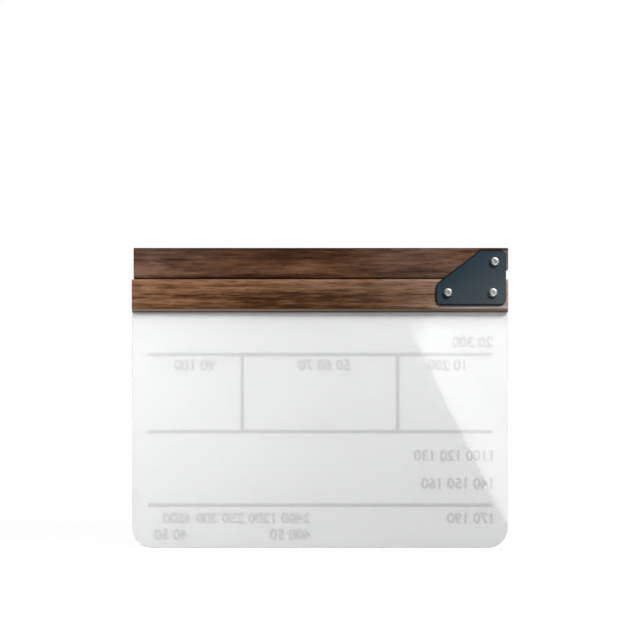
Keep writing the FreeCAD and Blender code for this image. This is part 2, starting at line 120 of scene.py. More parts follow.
# Plain numbers on the board: left end from its middle and baseline from its foot, in millimetres
NUMBERS = (
    ("20 300", 138.2, 160.4),
    ("10 200", 118.4, 142.0),
    ("50 60 70", 24.4, 142.0),
    ("90 100", -84.0, 142.0),
    ("1100 120 130", 140.0, 69.6),
    ("140 150 160", 140.0, 47.4),
    ("170 190", 140.0, 19.6),
    ("2400 1200 250 300 4500", -7.6, 19.6),
    ("400 50", -7.6, 6.5),
    ("40 50", -106.0, 6.5),
)

# Weight and smoothness of the digits, and how near two points of their ink are one
DIGIT_WEIGHT = 0.035
DIGIT_STEPS = 6
INK_MERGE = 0.002 * MM

# Bands of each stick: a share of its height, from its foot, and how light the wood is there
# The light top of the fixed stick is a painted highlight, and the dark top of the clapper painted shade
LOWER_BANDS = (
    (0.0, 0.30), (0.13, 0.26), (0.30, 0.50), (0.44, 0.37), (0.56, 0.46), (0.88, 0.54), (0.97, 0.64),
)
UPPER_BANDS = (
    (0.0, 0.24), (0.13, 0.46), (0.30, 0.56), (0.60, 0.50), (0.80, 0.42), (0.92, 0.40), (1.0, 0.05),
)
BAND_WAVER = 6.0 * MM

# Patches of each stick: middle and half size as shares of its length and height, and how much lighter
LOWER_PATCHES = ((0.45, 0.34, 0.32, 0.34, -0.23), (0.31, 0.44, 0.30, 0.06, -0.14))
UPPER_PATCHES = (
    (0.46, 0.82, 0.16, 0.32, -0.22),
    (0.02, 0.28, 0.18, 0.30, 0.26),
    (0.50, 0.34, 0.22, 0.24, 0.14),
    (0.73, 0.20, 0.15, 0.26, -0.26),
    # Painted shade: this dark patch along the clapper's foot is the shade of the gap between the sticks
    (0.32, 0.04, 0.24, 0.14, -0.24),
    (0.88, 0.92, 0.13, 0.22, 0.30),
)

# How far a patch fades out beside its half size, and how ragged it is
PATCH_REACH = 1.1
PATCH_RAGGED = 0.35

# Run of each stick: a share of its length, from the free end, how light it is and how far faded to grey
LOWER_RUN = (
    (0.0, 0.74, 0.20), (0.12, 0.65, 0.08), (0.30, 0.57, 0.05),
    # The light last stop at the hinge end is a painted highlight on the lit end
    (0.60, 0.54, 0.34), (0.80, 0.75, 1.00), (1.0, 0.98, 1.00),
)
UPPER_RUN = (
    (0.0, 0.57, 1.00), (0.14, 0.56, 0.90), (0.25, 0.53, 0.25), (0.55, 0.56, 0.15), (0.74, 0.56, 0.90),
)
LOWER_GROWTH = (LOWER_BANDS, LOWER_PATCHES, LOWER_RUN)
UPPER_GROWTH = (UPPER_BANDS, UPPER_PATCHES, UPPER_RUN)

# Rings of the log: how light the wood is from one to the next, how far that shows and how they wander
RING_TONES = ((0.0, 0.75), (0.5, 0.5), (0.88, 0.0), (1.0, 0.75))
RING_DEPTH = 0.15
RING_WANDER = 3.0

# Tones of dark, middle and light wood, and how light faded wood is at each
TONES = (0.08, 0.46, 0.86)
GREY_LEVELS = (0.45, 1.0, 1.9)

# How far dark lines, light lines and pores show, and where the noises of the wood start
DARK_LINES = 0.6
LIGHT_LINES = 0.42
PORE_DEPTH = 0.5
CLOUD_SHIFT = (0.35, 0.0, 0.0)
LINE_SHIFT = (0.0, 0.7, 0.3)

# Painted highlight on the bevel of the fixed stick: how soft its upper end is, and where above the foot it
# grows
BEVEL_SOFT = 0.3 * MM
BEVEL_HIGHLIGHT_RISE = (0.6 * MM, 1.6 * MM)

# Painted stripes: where in half a turn the paint begins and is full, how ragged it is and how soft
STRIPE_EDGE = (0.245, 0.255)
PAINT_RAGGED = 0.3 * MM
PAINT_SOFT = 0.2 * MM

# The span that most of a noise lies in, the gloss of wood and powder coat, and the lathe's rings to a metre
MOST = (0.3, 0.7)
DULL = 0.05
LATHE_RINGS = 9000.0

# Lamps: place, aim and side in metres, radiance, and how wide the beam opens in degrees
LAMPS = (
    ("key", (0.42, -0.38, 0.62), (0.05, 0.0, 0.19), 0.16, 63.0, 180.0),
    ("overhead", (0.05, -0.38, 0.90), (0.0, 0.0, 0.19), 0.40, 5.0, 180.0),
    ("soft_box", (-0.36, -0.30, 0.32), (-0.19, 0.0, 0.10), 0.25, 1.26, 60.0),
)

# Studio: its white, and the depth of a direction across which its light grows to the printed side
WHITE = (1.0, 1.0, 1.0, 1.0)
STUDIO_TURN = (-0.1, 1.0)

# Floor: what it gives back as light, what it shows of shadows, and its glow by distance in metres
FLOOR_PAPER = (0.35, 0.35, 0.35, 1.0)
FLOOR_SHADE = (0.12, 0.12, 0.12, 1.0)
FLOOR_FADE = (0.3, 1.3)
FLOOR_GLOW = (0.88, 1.0)

# Bright cards as the board mirrors them: upper left corner, slant, length, soft ends and what glows there
CARD_CORNER = Vector((70.6, 0.0, 177.4)) * MM
CARD_SLANT = math.radians(26.4)
CARD_LENGTH = 236.0 * MM
CARD_SOFTNESS = 20.0 * MM
CARD_FADE = 18.0 * MM
CARD_DIM = 0.2

# Each card's width, distance from the board and radiance, and the rays that no card meets
GLOSS_CARDS = (
    ("gloss_wide", 160.0 * MM, 450.0 * MM, 3.8),
    ("gloss_strip", 30.0 * MM, 440.0 * MM, 4.7),
)
HIDDEN_FROM = ("camera", "diffuse", "transmission", "volume_scatter", "shadow")


def colour(name, description, default):
    """A colour property, in linear light."""
    return FloatVectorProperty(
        name=name, description=description, subtype="COLOR", size=3, min=0.0, max=1.0, default=default
    )


def length(name, description, millimetres):
    """A length property, given in millimetres and kept in metres."""
    return FloatProperty(
        name=name, description=description, unit="LENGTH", default=millimetres * MM, precision=5
    )


def share(name, description, default):
    """A property from 0 to 1."""
    return FloatProperty(
        name=name, description=description, subtype="FACTOR", min=0.0, max=1.0, default=default
    )


def plain(name, description, default):
    """A property that is a plain number."""
    return FloatProperty(name=name, description=description, default=default)


class BoardLook(PropertyGroup):
    """The milky acrylic sheet."""

    tint: colour("Tint", "Colour of the milky sheet", (0.93, 0.935, 0.94))
    clearness: share("Clearness", "Share of the light that passes through the sheet", 0.32)
    polish: share("Roughness", "Roughness of the polished face", 0.05)


class PrintLook(PropertyGroup):
    """The rules and numbers printed on the front of the board."""

    ink: colour("Ink", "Colour of the ink", (0.018, 0.018, 0.02))
    ink_depth: length("Ink depth", "Thickness of the ink film, with its bite into the sheet", 0.06)
    ink_bite: length("Ink bite", "How far the ink film bites into the sheet", 0.01)
    rule_width: length("Rule width", "Width of the printed rules", 3.0)
    side_margin: length("Side margin", "From the board's side to the end of a rule", 12.5)
    column_place: length("Column place", "From the board's middle to an upright rule", 62.1)
    high_rule: length("High rule", "Height of the highest rule above the board's foot", 154.4)
    middle_rule: length("Middle rule", "Height of the middle rule above the board's foot", 92.7)
    low_rule: length("Low rule", "Height of the lowest rule above the board's foot", 33.9)
    digit_height: length("Digit height", "Height of the printed numbers", 9.0)


class LowerStickLook(PropertyGroup):
    """The fixed stick: straight-grained walnut, reddish and golden."""

    light: colour("Light wood", "Colour of the light streaks", (0.25, 0.127, 0.068))
    middle: colour("Middle wood", "Colour between the streaks", (0.136, 0.061, 0.0265))
    dark: colour("Dark wood", "Colour of the dark streaks", (0.040, 0.0145, 0.0045))
    grey: colour("Grey wood", "Colour of the faded patches", (0.136, 0.084, 0.062))
    greying: share("Greying", "How far the faded patches show", 1.0)
    streaking: share("Streaking", "How far the streaks show", 0.18)
    fibre: share("Fibre", "How far the fine fibres show", 0.52)
    clouding: share("Clouding", "How far the dark clouds show", 0.10)
    # Painted highlight on the foot's bevel: its height and its pale colour
    bevel_highlight: length("Pale edge", "Height of the faded bevel", 2.7)
    worn: colour("Worn wood", "Colour of the faded bevel", (0.50, 0.36, 0.29))
    # Painted highlight: the pale colour of the wood beside and under the back plate
    rubbed: colour("Rubbed wood", "Colour of the wood rubbed round the hinge", (0.40, 0.37, 0.36))
    ring_spacing: length("Ring spacing", "Distance between two rings of the log", 5.2)
    heart_depth: length("Heart depth", "The log's heart behind the stick's middle", 30.0)
    heart_height: length("Heart height", "The log's heart above the stick's middle", -80.0)
    heart_slant: plain("Heart slant", "Rise of the log's heart along the stick", 0.02)


class UpperStickLook(PropertyGroup):
    """The clapper: darker walnut with a wandering figure."""

    light: colour("Light wood", "Colour of the light streaks", (0.165, 0.077, 0.038))
    middle: colour("Middle wood", "Colour between the streaks", (0.083, 0.034, 0.0155))
    dark: colour("Dark wood", "Colour of the dark streaks", (0.024, 0.0085, 0.003))
    grey: colour("Grey wood", "Colour of the faded patches", (0.094, 0.056, 0.042))
    greying: share("Greying", "How far the faded patches show", 0.9)
    streaking: share("Streaking", "How far the streaks show", 0.20)
    fibre: share("Fibre", "How far the fine fibres show", 0.36)
    clouding: share("Clouding", "How far the dark clouds show", 0.30)
    # No highlight is painted on the clapper's bevel
    bevel_highlight: length("Pale edge", "Height of the faded bevel", 0.0)
    # Painted highlight: the pale colour of the wood beside the back plate
    rubbed: colour("Rubbed wood", "Colour of the wood rubbed round the hinge", (0.17, 0.18, 0.19))
    ring_spacing: length("Ring spacing", "Distance between two rings of the log", 7.0)
    heart_depth: length("Heart depth", "The log's heart behind the stick's middle", 42.0)
    heart_height: length("Heart height", "The log's heart above the stick's middle", 14.0)
    heart_slant: plain("Heart slant", "Rise of the log's heart along the stick", -0.05)


class StripeLook(PropertyGroup):
    """The painted stripes on the front of both sticks."""

    paint: colour("Paint", "Colour of the stripes", (0.78, 0.77, 0.73))
    width: length("Stripe width", "Width of a stripe along the stick", 22.0)
    wrap: length("Wrap", "How far the paint goes round the edge of the front", 1.2)


class HingeLook(PropertyGroup):
    """Plates, bolts, bushes and board screws."""

    plate: colour("Plate", "Colour of the powder coat", (0.0245, 0.0395, 0.0515))
    # Painted sheen: the coat is drawn lighter towards its low outer corner
    plate_sheen: colour(
        "Rubbed plate", "Colour of the coat rubbed at its low outer corner", (0.065, 0.076, 0.0847)
    )
    # Painted shade: the bevel and a band along the plate's edges are drawn near black
    plate_edge_shade: colour("Plate edge", "Colour of the thick coat along the edge", (0.007, 0.007, 0.008))
    painted_border_shade: length("Plate border", "Width of the thick coat along the edge", 1.5)
    steel: colour("Bolt steel", "Colour of the polished steel", (0.50, 0.50, 0.49))
    thread: length("Thread", "Diameter of the screws' shanks", 4.0)
    head_rim: length("Head rim", "Height of the rim round a screw's head", 1.6)
    head_draft: length("Head draft", "How far the rim leans in from its foot to its top", 0.3)
    head_flat: length("Head flat", "Width of the flat on top of a screw's head", 3.6)
    socket: length("Socket", "Hexagon socket of a screw, across its flats", 2.5)
    socket_depth: length("Socket depth", "Depth of a screw's socket", 1.3)
    socket_break: length("Socket break", "Bevel round the mouth of a screw's socket", 0.15)
    nylon: colour("Bush nylon", "Colour of the bushes", (0.80, 0.79, 0.74))
    zinc: colour("Screw zinc", "Colour of the plated board screws", (0.58, 0.58, 0.57))


class StageLook(PropertyGroup):
    """Floor, light and camera."""

    picture_width: length("Picture width", "Width of the picture at the back of the sticks", 509.8)
    picture_height: length("Picture height", "Height of the middle of the picture above the floor", 182.0)
    lens: plain("Lens", "Focal length of the camera in millimetres", 145.0)
    floor_reach: length("Floor reach", "Half the width of the floor", 6000.0)
    cove_gap: length("Cove gap", "From the back of the sticks to the dark cove's open side", 8.0)
    cove_back: length("Cove back", "From the board's middle to the dark cove's back wall", 620.0)
    cove_side: length("Cove side", "From the board's middle to the dark cove's left wall", 900.0)
    cove_drop: length("Cove drop", "From the floor down to the dark cove's ground", 150.0)
    cove_reach: length("Cove reach", "How far the dark cove reaches up and to the right", 3000.0)
    cove_glow: plain("Cove glow", "Brightness of the dark cove", 0.01)
    back_light: plain("Back light", "Brightness of the studio on the printed side", 1.6)
    front_light: plain("Front light", "Brightness of the studio on the plain side", 0.03)


class ClapperboardLook(PropertyGroup):
    """All that a user would change."""

    board: PointerProperty(type=BoardLook)
    printing: PointerProperty(type=PrintLook)
    lower_stick: PointerProperty(type=LowerStickLook)
    upper_stick: PointerProperty(type=UpperStickLook)
    stripes: PointerProperty(type=StripeLook)
    hinge: PointerProperty(type=HingeLook)
    stage: PointerProperty(type=StageLook)


class Wiring:
    """Short names for the nodes of one tree while it is wired."""

    def __init__(self, tree):
        self.tree = tree

    def add(self, kind, **settings):
        """A new node with these settings."""
        node = self.tree.nodes.new(kind)
        for setting, value in settings.items():
            setattr(node, setting, value)
        return node

    def feed(self, socket, value):
        """Links another socket to this one, or sets a plain value on it."""
        if isinstance(value, bpy.types.NodeSocket):
            self.tree.links.new(value, socket)
        else:
            socket.default_value = value

    def fill(self, node, **values):
        """Feeds a node: each name is a socket's name with _ for a space."""
        for name, value in values.items():
            self.feed(node.inputs[name.replace("_", " ")], value)

    def math(self, operation, first, second=0.0):
        """A sum on one or two numbers."""
        node = self.add("ShaderNodeMath", operation=operation)
        self.feed(node.inputs[0], first)
        self.feed(node.inputs[1], second)
        return node.outputs[0]

    def plus(self, first, second):
        """Two numbers added up."""
        return self.math("ADD", first, second)

    def minus(self, first, second):
        """The first number less the second."""
        return self.math("SUBTRACT", first, second)

    def times(self, first, second):
        """Two numbers multiplied."""
        return self.math("MULTIPLY", first, second)

    def squares(self, first, second):
        """The squares of two numbers added up."""
        return self.plus(self.math("POWER", first, 2.0), self.math("POWER", second, 2.0))

    def swing(self, value, size):
        """Turns a number from 0 to 1 into one of this size that swings about 0."""
        return self.times(self.minus(value, 0.5), size)

    def parts(self, place):
        """A place as three numbers."""
        node = self.add("ShaderNodeSeparateXYZ")
        self.feed(node.inputs[0], place)
        return node.outputs["X"], node.outputs["Y"], node.outputs["Z"]

    def spread(self, value, low, high, to_low=0.0, to_high=1.0, interpolation="LINEAR"):
        """Maps low to high on to_low to to_high, and holds the ends."""
        node = self.add("ShaderNodeMapRange", interpolation_type=interpolation)
        self.fill(node, Value=value, From_Min=low, From_Max=high, To_Min=to_low, To_Max=to_high)
        return node.outputs["Result"]

    def between(self, value, first, second):
        """Turns a number from 0 to 1 into one from the first to the second."""
        return self.spread(value, 0.0, 1.0, first, second)

    def step(self, value, edge, reach, to_low=0.0, to_high=1.0):
        """Goes from to_low to to_high across a reach that is measured from an edge."""
        return self.spread(value, edge + reach[0], edge + reach[1], to_low, to_high)

    def show(self, seen, lighting, output):
        """Shows one shader to the eye, to mirrors and through clear pieces, and lights with another."""
        path = self.add("ShaderNodeLightPath")
        shown = path.outputs["Is Camera Ray"]
        for ray in ("Is Glossy Ray", "Is Transmission Ray"):
            shown = self.math("MAXIMUM", shown, path.outputs[ray])
        either = self.add("ShaderNodeMixShader")
        self.feed(either.inputs[0], shown)
        self.feed(either.inputs[1], lighting.outputs[0])
        self.feed(either.inputs[2], seen.outputs[0])
        self.fill(self.tree.nodes[output], Surface=either.outputs[0])


class Finish(Wiring):
    """One material while it is wired: its shader, and the noises and colours that feed it."""

    def __init__(self, name):
        self.material = bpy.data.materials.new(name)
        self.material.use_nodes = True
        super().__init__(self.material.node_tree)
        self.shader = self.tree.nodes["Principled BSDF"]
        self.place = self.add("ShaderNodeTexCoord").outputs["Object"]

    def set(self, **values):
        """Feeds the material's shader."""
        self.fill(self.shader, **values)

    def axes(self):
        """The place on the piece as three numbers."""
        return self.parts(self.place)

    def noise(self, stretch, detail=3.0, roughness=0.55, shift=(0.0, 0.0, 0.0), distortion=0.0):
        """Cloudy noise from 0 to 1, with this many clouds a metre along each axis."""
        mapping = self.add("ShaderNodeMapping")
        self.fill(mapping, Vector=self.place, Scale=stretch, Location=shift)
        node = self.add("ShaderNodeTexNoise")
        self.fill(node, Vector=mapping.outputs["Vector"], Scale=1.0)
        self.fill(node, Detail=detail, Roughness=roughness, Distortion=distortion)
        return node.outputs["Fac"]

    def pattern(self, stretch, low, high, **noise):
        """The part of a noise from low to high, stretched from 0 to 1."""
        return self.spread(self.noise(stretch, **noise), low, high)

    def ramp(self, value, stops):
        """Colours along a number: each stop is a place from 0 to 1 and a colour."""
        node = self.add("ShaderNodeValToRGB")
        self.feed(node.inputs["Fac"], value)
        elements = node.color_ramp.elements
        while len(elements) < len(stops):
            elements.new(1.0)
        for element, (place, tone) in zip(elements, stops):
            element.position = place
            element.color = (*tone, 1.0)
        return node.outputs["Color"]

    def curve(self, value, stops):
        """Numbers along a number: each stop is a place from 0 to 1 and a number."""
        return self.ramp(value, [(place, (level,) * 3) for place, level in stops])

    def blend(self, amount, first, second):
        """Lays the second colour over the first."""
        node = self.add("ShaderNodeMix", data_type="RGBA")
        colours = [socket for socket in node.inputs if socket.type == "RGBA"]
        self.feed(node.inputs["Factor"], amount)
        for socket, tone in zip(colours, (first, second)):
            self.feed(socket, tone if isinstance(tone, bpy.types.NodeSocket) else (*tone, 1.0))
        return next(socket for socket in node.outputs if socket.type == "RGBA")

    def bump(self, height, depth):
        """Raises the surface by up to this depth where the height is 1."""
        node = self.add("ShaderNodeBump")
        self.fill(node, Height=height, Distance=depth)
        self.set(Normal=node.outputs["Normal"])


def milky_acrylic(look):
    """Milky sheet under its polish: the print on its far face shows through as a soft shade."""
    finish = Finish("milky_acrylic")
    haze = finish.noise((7.0,) * 3, detail=2.0)
    tint = Vector(look.tint)
    finish.set(
        Base_Color=finish.blend(finish.spread(haze, 0.35, 0.65), tint * 0.985, tint),
        Roughness=finish.spread(haze, *MOST, look.polish * 0.8, look.polish),
        IOR=1.49,
        Transmission_Weight=look.clearness,
    )
    return finish.material


def printers_ink(look):
    """Screen-printed black, a little uneven."""
    finish = Finish("printers_ink")
    cover = finish.noise((900.0,) * 3)
    ink = Vector(look.ink)
    finish.set(
        Base_Color=finish.blend(finish.spread(cover, 0.35, 0.7), ink, ink * 1.8),
        Roughness=finish.spread(cover, *MOST, 0.38, 0.55),
    )
    finish.bump(cover, 0.004 * MM)
    return finish.material


def log_rings(finish, look, middle):
    """The log's rings where the saw met them: 0 on new early wood, rising to 1 on late wood."""
    along, depth, height = finish.axes()
    lean = finish.times(along, look.heart_slant)
    above = finish.minus(finish.minus(height, middle.z + look.heart_height), lean)
    behind = finish.minus(depth, middle.y + look.heart_depth)
    radius = finish.math("SQRT", finish.squares(above, behind))
    wander = finish.noise((6.0, 40.0, 40.0), roughness=0.5)
    wander = finish.swing(wander, look.ring_spacing * RING_WANDER)
    turns = finish.math("DIVIDE", finish.plus(radius, wander), look.ring_spacing)
    return finish.math("FRACT", turns)


def stripe_mask(finish, stripes, face, meeting_line, slope):
    """1 where the front of a stick is painted: slanting stripes that meet between the sticks."""
    along, depth, height = finish.axes()
    rise = finish.times(finish.minus(height, meeting_line), slope)
    ragged = finish.times(finish.noise((250.0,) * 3, detail=2.0), PAINT_RAGGED)
    reach = finish.plus(finish.plus(along, rise), ragged)
    turns = finish.math("FRACT", finish.math("DIVIDE", reach, stripes.width * 2.0))
    striped = finish.spread(finish.math("PINGPONG", turns, 0.5), *STRIPE_EDGE)
    front = finish.step(depth, face - stripes.wrap, (0.0, PAINT_SOFT))
    return finish.times(striped, front)


def wood_patches(finish, along, height, patches):
    """How much lighter or darker soft ragged patches make the wood."""
    ragged = finish.noise((70.0, 260.0, 260.0), detail=4.0, shift=LINE_SHIFT)
    ragged = finish.spread(ragged, *MOST, -PATCH_RAGGED, PATCH_RAGGED)
    total = 0.0
    for place, rise, half_length, half_height, tone in patches:
        across = finish.math("DIVIDE", finish.minus(along, place), half_length)
        up = finish.math("DIVIDE", finish.minus(height, rise), half_height)
        reach = finish.plus(finish.squares(across, up), ragged)
        total = finish.plus(total, finish.spread(reach, 0.0, PATCH_REACH, tone, 0.0))
    return total


def near_back(finish, back):
    """1 close to the back of a stick, 0 inside it and on its front."""
    return finish.step(finish.axes()[1], back, BACK_SKIN, 1.0, 0.0)


def hinge_highlight(finish, back, fibres):
    """How far a highlight is painted pale on the wood past the outer side of the back plate and under it.
    """
    across, _, height = finish.axes()
    beside = finish.step(across, PLATE_HIGH.x, HIGHLIGHT_BESIDE, 0.0, 0.6)
    below = finish.step(height, PLATE_LOW.z, HIGHLIGHT_BELOW, 0.9, 0.0)
    over_bevel = finish.step(height, LOWER_LOW.z, HIGHLIGHT_OVER_BEVEL)
    near = finish.step(across, PLATE_LOW.x, HIGHLIGHT_NEAR)
    strip = finish.times(finish.times(below, over_bevel), near)
    highlight_mask = finish.times(finish.math("MAXIMUM", beside, strip), near_back(finish, back))
    return finish.times(highlight_mask, finish.between(fibres, 0.6, 1.0))


def hinge_shade(finish, back):
    """How far painted shade darkens the wood along the top of the back plate."""
    across, _, height = finish.axes()
    above = finish.step(height, PLATE_HIGH.z, SHADE_ABOVE, 0.0, 0.8)
    near = finish.step(across, PLATE_HIGH.x - PLATE_TOP, SHADE_NEAR)
    return finish.times(finish.times(above, near), near_back(finish, back))


def painted_bevel_highlight(finish, look, foot, along):
    """How far a highlight is painted on the bevel along the foot of a stick, which is less towards the
    hinge.
    """
    height = finish.axes()[2]
    # The painted highlight ends softly at the bevel's top and stays weak at the foot
    faded = finish.step(height, foot + look.bevel_highlight, (0.0, BEVEL_SOFT), 0.8, 0.0)
    rubbed = finish.step(height, foot, BEVEL_HIGHLIGHT_RISE, 0.15, 1.0)
    dimmer_to_hinge = finish.spread(along, 0.25, 0.75, 1.0, 0.65)
    return finish.times(finish.times(faded, rubbed), dimmer_to_hinge)


def wood_tone(finish, look, growth, box, along, streaks, fibres):
    """How light the wood is: bands, run, patches, rings, streaks, fibres, clouds and lines."""
    low, high = box
    bands, patches, run = growth
    rings = finish.curve(log_rings(finish, look, (low + high) / 2.0), RING_TONES)
    clouds = finish.pattern((16.0, 50.0, 90.0), 0.50, 0.70, distortion=0.6, shift=CLOUD_SHIFT)
    dark_lines = finish.pattern((6.0, 340.0, 340.0), 0.56, 0.66, shift=CLOUD_SHIFT)
    light_lines = finish.pattern((9.0, 360.0, 360.0), 0.57, 0.67, shift=LINE_SHIFT)

    wavering = finish.swing(finish.noise((9.0, 20.0, 20.0), shift=CLOUD_SHIFT), BAND_WAVER)
    height = finish.spread(finish.plus(finish.axes()[2], wavering), low.z, high.z)
    lightness = finish.curve(along, [(place, light) for place, light, _ in run])
    tone = finish.plus(finish.curve(height, bands), finish.swing(lightness, 1.0))
    tone = finish.plus(tone, wood_patches(finish, along, height, patches))
    for amount, pattern in ((RING_DEPTH, rings), (look.streaking, streaks), (look.fibre, fibres)):
        tone = finish.plus(tone, finish.swing(pattern, amount))
    darker = -look.streaking * DARK_LINES
    lighter = look.streaking * LIGHT_LINES
    for amount, pattern in ((-look.clouding, clouds), (darker, dark_lines), (lighter, light_lines)):
        tone = finish.plus(tone, finish.times(pattern, amount))
    return tone


def wood_colour(finish, look, run, along, tone):
    """The colour of wood of this tone, greyed in patches where it has faded."""
    figure = finish.pattern((22.0, 60.0, 75.0), 0.40, 0.62, distortion=1.1)
    patchy = finish.between(figure, look.greying * 0.4, look.greying)
    fading = finish.curve(along, [(place, grey) for place, _, grey in run])
    fresh = finish.ramp(tone, list(zip(TONES, (look.dark, look.middle, look.light))))
    greys = [Vector(look.grey) * level for level in GREY_LEVELS]
    return finish.blend(finish.times(patchy, fading), fresh, finish.ramp(tone, list(zip(TONES, greys))))


def walnut(name, look, growth, stripes, box, slope):
    """Oiled walnut with its grain along the stick, painted highlight and shade round the hinge and foot,
    striped on its front.
    """
    low, high = box
    finish = Finish(name)
    streaks = finish.pattern((24.0, 330.0, 330.0), 0.36, 0.64, detail=5.0, roughness=0.6)
    fibres = finish.pattern((46.0, 720.0, 720.0), 0.36, 0.64, detail=4.0, roughness=0.65)
    pores = finish.pattern((80.0, 1100.0, 1100.0), 0.60, 0.68, detail=2.0)
    along = finish.spread(finish.axes()[0], low.x, high.x)

    tone = wood_tone(finish, look, growth, box, along, streaks, fibres)
    wood = wood_colour(finish, look, growth[-1], along, tone)
    wood = finish.blend(finish.times(pores, PORE_DEPTH), wood, Vector(look.dark) * 0.7)
    # Painted highlight beside and under the back plate, broken by the fibres
    wood = finish.blend(hinge_highlight(finish, low.y, fibres), wood, look.rubbed)
    # Painted shade along the top of the back plate
    wood = finish.blend(hinge_shade(finish, low.y), wood, Vector(look.dark) * 0.5)
    # Painted highlight on the foot's bevel
    if look.bevel_highlight:
        wood = finish.blend(painted_bevel_highlight(finish, look, low.z, along), wood, look.worn)

    painted = stripe_mask(finish, stripes, high.y, LOWER_HIGH.z, slope)
    worn = finish.times(painted, finish.between(pores, 1.0, 0.75))
    grain = finish.minus(finish.times(fibres, 0.5), pores)
    finish.set(
        Base_Color=finish.blend(worn, wood, stripes.paint),
        Roughness=finish.between(streaks, 0.58, 0.46),
        Specular_IOR_Level=DULL,
    )
    finish.bump(finish.times(grain, finish.between(painted, 1.0, 0.35)), 0.06 * MM)
    return finish.material


def painted_border_shade(finish, across, height, width):
    """From 1 on the plate's edges, where shade is painted, to 0 this far inside them."""
    foot = Vector((PLATE_LOW.x, PLATE_LOW.z + PLATE_TOE))
    run = (Vector((PLATE_HIGH.x - PLATE_TOP, PLATE_HIGH.z)) - foot).normalized()
    out_across = finish.times(finish.minus(across, foot.x), run.y)
    out_height = finish.times(finish.minus(height, foot.y), run.x)
    nearest = finish.minus(out_across, out_height)
    for inside in (
        finish.minus(across, PLATE_LOW.x),
        finish.minus(height, PLATE_LOW.z),
        finish.minus(PLATE_HIGH.z, height),
    ):
        nearest = finish.math("MINIMUM", nearest, inside)
    return finish.spread(nearest, width * BORDER_SOLID, width, 1.0, 0.0)


def powder_coat(look):
    """Matt black coat with its fine orange-peel skin, painted sheen towards one corner and painted edge
    shade.
    """
    finish = Finish("black_plate")
    skin = finish.noise((1500.0,) * 3, roughness=0.6)
    handling = finish.noise((45.0,) * 3, detail=4.0)
    coat = Vector(look.plate)
    across, through, height = finish.axes()
    # Painted sheen: the coat grows lighter towards the low outer corner
    inward = finish.times(finish.minus(across, PLATE_LOW.x), SHEEN_LEAN)
    towards_corner = finish.plus(inward, finish.minus(PLATE_HIGH.z, height))
    face = finish.blend(finish.spread(towards_corner, *SHEEN_REACH), coat, look.plate_sheen)
    face = finish.blend(finish.spread(handling, *MOST, 0.0, 0.3), face, coat * 0.7)
    # Painted shade on the bevel of the face and in a band along the edges
    bevel = finish.step(finish.math("ABSOLUTE", through), PLATE_HIGH.y, PLATE_BEVEL, 1.0, 0.0)
    edge = finish.math("MAXIMUM", bevel, painted_border_shade(finish, across, height, look.painted_border_shade))
    finish.set(
        Base_Color=finish.blend(edge, face, look.plate_edge_shade),
        Roughness=finish.spread(handling, *MOST, 0.5, 0.62),
        Specular_IOR_Level=DULL,
    )
    finish.bump(skin, 0.03 * MM)
    return finish.material


def turned_steel(name, look, box):
    """Polished steel with the rings of the lathe round the bolt's own axis."""
    middle = (box[0] + box[1]) / 2.0
    finish = Finish(name)
    across, _, height = finish.axes()
    squares = finish.squares(finish.minus(across, middle.x), finish.minus(height, middle.z))
    lathe = finish.add("ShaderNodeTexNoise", noise_dimensions="1D")
    finish.fill(lathe, W=finish.times(finish.math("SQRT", squares), LATHE_RINGS), Scale=1.0)
    rings = lathe.outputs["Fac"]
    rubs = finish.noise((700.0,) * 3)
    steel = Vector(look.steel)
    finish.set(
        Base_Color=finish.blend(finish.spread(rubs, 0.35, 0.7), steel, steel * 0.86),
        Metallic=1.0,
        Roughness=finish.spread(finish.plus(rings, rubs), 0.7, 1.3, 0.36, 0.50),
    )
    finish.bump(rings, 0.006 * MM)
    return finish.material


def natural_nylon(look):
    """Bush nylon, slightly cloudy."""
    finish = Finish("bush_nylon")
    cloud = finish.noise((400.0,) * 3)
    nylon = Vector(look.nylon)
    finish.set(
        Base_Color=finish.blend(finish.spread(cloud, *MOST), nylon * 0.94, nylon),
        Roughness=finish.spread(cloud, *MOST, 0.4, 0.52),
        Subsurface_Weight=0.2,
        Subsurface_Scale=0.5 * MM,
    )
    finish.bump(cloud, 0.005 * MM)
    return finish.material


def zinc_plate(look):
    """Zinc plating with its faint two-tone bloom."""
    finish = Finish("wood_screw_steel")
    bloom = finish.noise((500.0,) * 3, detail=4.0)
    zinc = Vector(look.zinc)
    warm = Vector((zinc.x * 1.08, zinc.y * 1.02, zinc.z * 0.88))
    finish.set(
        Base_Color=finish.blend(finish.spread(bloom, 0.35, 0.65), zinc, warm),
        Metallic=1.0,
        Roughness=finish.spread(bloom, *MOST, 0.28, 0.45),
    )
    finish.bump(bloom, 0.008 * MM)
    return finish.material


def dress(material, *nodes):
    """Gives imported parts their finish."""
    for node in nodes:
        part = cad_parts[node]
        part.data.materials.clear()
        part.data.materials.append(material)


def new_object(name, bm, material):
    """Makes a finished bmesh an object of the scene."""
    mesh = bpy.data.meshes.new(name)
    bm.to_mesh(mesh)
    bm.free()
    mesh.materials.append(material)
    thing = bpy.data.objects.new(name, mesh)
    bpy.context.scene.collection.objects.link(thing)
    return thing


def new_piece(name, bm, material, body):
    """Makes a finished bmesh a piece that rides on a body."""
    piece = new_object(name, bm, material)
    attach(piece, body)
    return piece


def add_block(bm, low, high):
    """A block from one corner to the opposite one."""
    scale = Matrix.Diagonal((*(high - low), 1.0))
    bmesh.ops.create_cube(bm, size=1.0, matrix=Matrix.Translation((low + high) / 2.0) @ scale)


def ink_bar(bm, look, x_span, z_span):
    """One printed rule: a flat bar of ink on the front of the board."""
    depth_low = BOARD_HIGH.y - look.ink_bite
    depth_high = depth_low + look.ink_depth
    add_block(bm, Vector((x_span[0], depth_low, z_span[0])), Vector((x_span[1], depth_high, z_span[1])))


